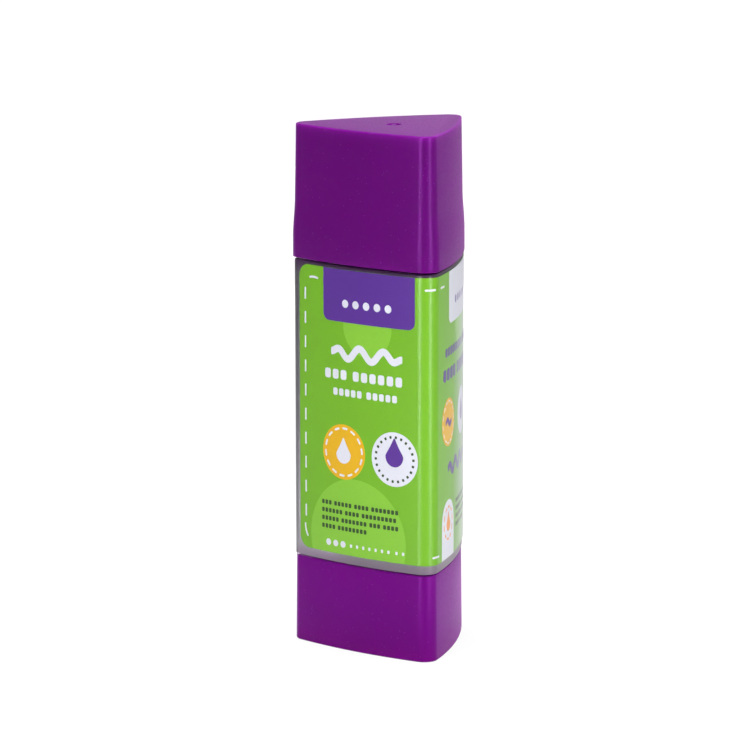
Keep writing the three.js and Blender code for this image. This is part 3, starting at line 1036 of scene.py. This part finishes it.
# Stitches: a row near each end of the film, two bends at the left one, and single ones at the corners

stitchSettings = dict(
    length=2.2,
    width=0.37,
    pitch=4.39,
    top=64.95,
    count=10,
    left=-11.7,
    endGap=1.25,
    bends=(dict(centre=(-8.5, 21.7), radius=3.4, first=175, last=218, length=2.5),
           dict(centre=(-9.45, 62.9), radius=4.1, first=106, last=74, length=2.3)),
    singles=((15.3, 66.9), (19.5, 66.9), (47.4, 66.9), (51.8, 66.9),
             (16.8, 18.9), (48.6, 18.9), (52.9, 18.9)),
)


def addStitch(start, end):
    length = stitchSettings["length"]
    addBand("white", linePath(start, end), length, stitchSettings["width"], printLayer, steps=1)


def printStitches(s):
    for left in (s["left"], labelEnd - s["endGap"]):
        for i in range(s["count"]):
            top = s["top"] - s["pitch"] * i
            addStitch((left, top), (left, top - s["length"]))
    for bend in s["bends"]:
        path = arcPath(bend["centre"], bend["radius"], bend["first"], bend["last"])
        addBand("white", path, bend["length"], s["width"], printLayer, steps=5)
    for left, level in s["singles"]:
        addStitch((left, level), (left + s["length"], level))


printStitches(stitchSettings)


# Pale discs behind the other prints, cut off under the tabs and at the film's foot

paleDiscs = dict(
    upper=dict(level=59.2, radius=5.4, cut=60, lefts=(3.2, 35.15, backMiddle)),
    lower=dict(level=20.5, places=((0.6, 11), (42.5, 8.5), (backMiddle, 11))),
)


def trimFlat(obj, level, side):  # cuts a flat shape off above a level, side 1, or below it, side -1
    startEditing(obj)
    bpy.ops.mesh.bisect(plane_co=(0, level * mm, 0), plane_no=(0, side, 0), clear_outer=True)
    stopEditing()


def printPaleDiscs(s):
    upper, lower = s["upper"], s["lower"]
    for left in upper["lefts"]:
        trimFlat(addDisc("pale", (left, upper["level"]), upper["radius"], backLayer), upper["cut"], 1)
    foot = labelSettings["low"] + labelSettings["inkMargin"]
    for left, radius in lower["places"]:
        trimFlat(addDisc("pale", (left, lower["level"]), radius, backLayer, vertices=96), foot, -1)


printPaleDiscs(paleDiscs)


def finishInk(ink, parts):  # all that one ink prints becomes one thin piece
    selectOnly(parts[0])
    for part in parts:
        part.select_set(True)
    bpy.ops.object.join()
    merged = bpy.context.object
    merged.name = "print_" + ink
    wrapFlat(merged, labelSettings["gap"] + labelSettings["thickness"])
    thickness = labelSettings["inkThickness"] * mm
    useModifier(merged, "SOLIDIFY", thickness=thickness, offset=-1, use_even_offset=True)
    finishPiece(merged, "barrel", [], inkMaterials[ink])
    roundShading(merged)


for ink, parts in shapes.items():
    if parts:
        finishInk(ink, parts)
print("prints made")


# Floor, lamps and world, in metres

stageSettings = dict(size=8, gap=0.00002, shade=0.52, farShade=0.3, nearDistance=0.06, farDistance=0.45,
                     keepShadow=0.3, glow=1.2, farGlow=1.4, glossShare=0.15)
white = toLinear("#ffffff")


def addBackdropShare(tree, share):  # the share of white backdrop that a ray sees, by what sends the ray
    rays = addNode(tree, "LightPath")
    gloss = addNode(tree, "Math", {"operation": "MULTIPLY_ADD", "_1": stageSettings["glossShare"]},
                    _0=rays.outputs["Is Glossy Ray"], _2=rays.outputs["Is Camera Ray"])
    seen = addNode(tree, "Math", {"operation": "ADD", "use_clamp": True}, _0=gloss.outputs[0],
                   _1=rays.outputs["Is Transmission Ray"])
    return addNode(tree, "Math", {"operation": "MULTIPLY", "_1": share}, _0=seen.outputs[0])


def makeFloor(s):
    # A sweep of white paper whose colour is painted lighter around the object and darker further out: a
    # painted pool of light
    deselectAll()
    bpy.ops.mesh.primitive_plane_add(size=s["size"], location=(0, 0, -s["gap"]))
    floor = bpy.context.object
    floor.name = "floor"
    material, tree = newMaterial("white_paper_sweep")
    place = addNode(tree, "TexCoord").outputs["Object"]
    distance = addNode(tree, "VectorMath", {"operation": "LENGTH"}, _0=place)
    reach = {"From Min": s["nearDistance"], "From Max": s["farDistance"]}
    # painted pool of light: the paper's colour by distance from the object
    shade = addNode(tree, "MapRange", {**reach, "To Min": s["shade"], "To Max": s["farShade"]},
                    Value=distance.outputs["Value"])
    bright = addNode(tree, "MapRange", {**reach, "To Min": s["glow"], "To Max": s["farGlow"]},
                     Value=distance.outputs["Value"])
    diffuse = addNode(tree, "BsdfDiffuse", None, Color=shade.outputs[0])
    glow = addNode(tree, "Emission", {"Color": white}, Strength=bright.outputs[0])
    share = addBackdropShare(tree, 1 - s["keepShadow"])
    mix = addNode(tree, "MixShader", None, _0=share.outputs[0], _1=diffuse.outputs[0], _2=glow.outputs[0])
    finishMaterial(tree, mix)
    floor.data.materials.append(material)


roomSettings = dict(front=-0.3, behind=0.6, dim=0.1, bright=0.4)


def makeWorld(s):
    # A room that is bright behind the object, which is towards +Y, and dim in front of it
    world = bpy.data.worlds.new("studio")
    scene.world = world
    world.use_nodes = True
    tree = world.node_tree
    tree.nodes.clear()
    place = addNode(tree, "TexCoord").outputs["Generated"]
    parts = addNode(tree, "SeparateXYZ", None, Vector=place)
    strength = addNode(tree, "MapRange", {"From Min": s["front"], "From Max": s["behind"], "To Min": s["dim"],
                                          "To Max": s["bright"]}, Value=parts.outputs["Y"])
    room = addNode(tree, "Background", {"Color": white}, Strength=strength.outputs[0])
    plain = addNode(tree, "Background", {"Color": white, "Strength": 1})
    share = addBackdropShare(tree, 1)
    mix = addNode(tree, "MixShader", None, _0=share.outputs[0], _1=room.outputs[0], _2=plain.outputs[0])
    output = addNode(tree, "OutputWorld")
    tree.links.new(mix.outputs[0], output.inputs["Surface"])


# The strips make the bright lines on the near corner, and the lamps on the floor carry them down to its foot
strips = [
    dict(name="front_strip", azimuth=8, elevation=9.9, distance=0.223, width=0.024, height=0.164, power=0.29),
    dict(name="side_strip", azimuth=84, elevation=9.9, distance=0.223, width=0.022, height=0.164, power=0.27),
]
floorStrips = [
    dict(name="front_floor_strip", azimuth=8, near=0.05, far=0.2, width=0.015, lift=0.002, power=0.035),
    dict(name="side_floor_strip", azimuth=84, near=0.05, far=0.2, width=0.015, lift=0.002, power=0.04),
]
softboxes = [
    dict(name="rear_softbox", azimuth=150, elevation=20, distance=1.2, width=0.6, height=0.9, power=1.2),
    dict(name="left_softbox", azimuth=-56, elevation=14, distance=1.3, width=0.3, height=0.9, power=0.3),
    dict(name="back_softbox", azimuth=205, elevation=48, distance=1.3, width=0.9, height=0.6, power=2.5),
    dict(name="top_softbox", azimuth=0, elevation=88, distance=0.9, width=0.6, height=0.6, power=9),
    dict(name="low_back_softbox", azimuth=223, elevation=0, distance=0.4, width=0.12, height=0.07, power=0.5),
]


def addSoftbox(name, azimuth, elevation, distance, width, height, power):
    data = bpy.data.lights.new(name, "AREA")
    data.shape = "RECTANGLE"
    data.size = width
    data.size_y = height
    data.energy = power
    lamp = bpy.data.objects.new(name, data)
    lamp.visible_camera = False
    scene.collection.objects.link(lamp)
    away = directionTo(azimuth, elevation)
    lamp.location = Vector(cameraSettings["target"]) + away * distance
    lamp.rotation_mode = "QUATERNION"
    lamp.rotation_quaternion = (-away).to_track_quat("-Z", "Y")
    return lamp


def addFloorStrip(name, azimuth, near, far, width, lift, power):  # lies on the floor, radially, and faces up
    lamp = addSoftbox(name, azimuth, 0, (near + far) / 2, width, far - near, power)
    lamp.location.z = lift
    lamp.rotation_mode = "XYZ"
    lamp.rotation_euler = (math.pi, 0, math.radians(azimuth))


makeFloor(stageSettings)
makeWorld(roomSettings)
for strip in strips:
    addSoftbox(**strip)
for strip in floorStrips:
    addFloorStrip(**strip)
for softbox in softboxes:
    addSoftbox(**softbox)
print("stage set")
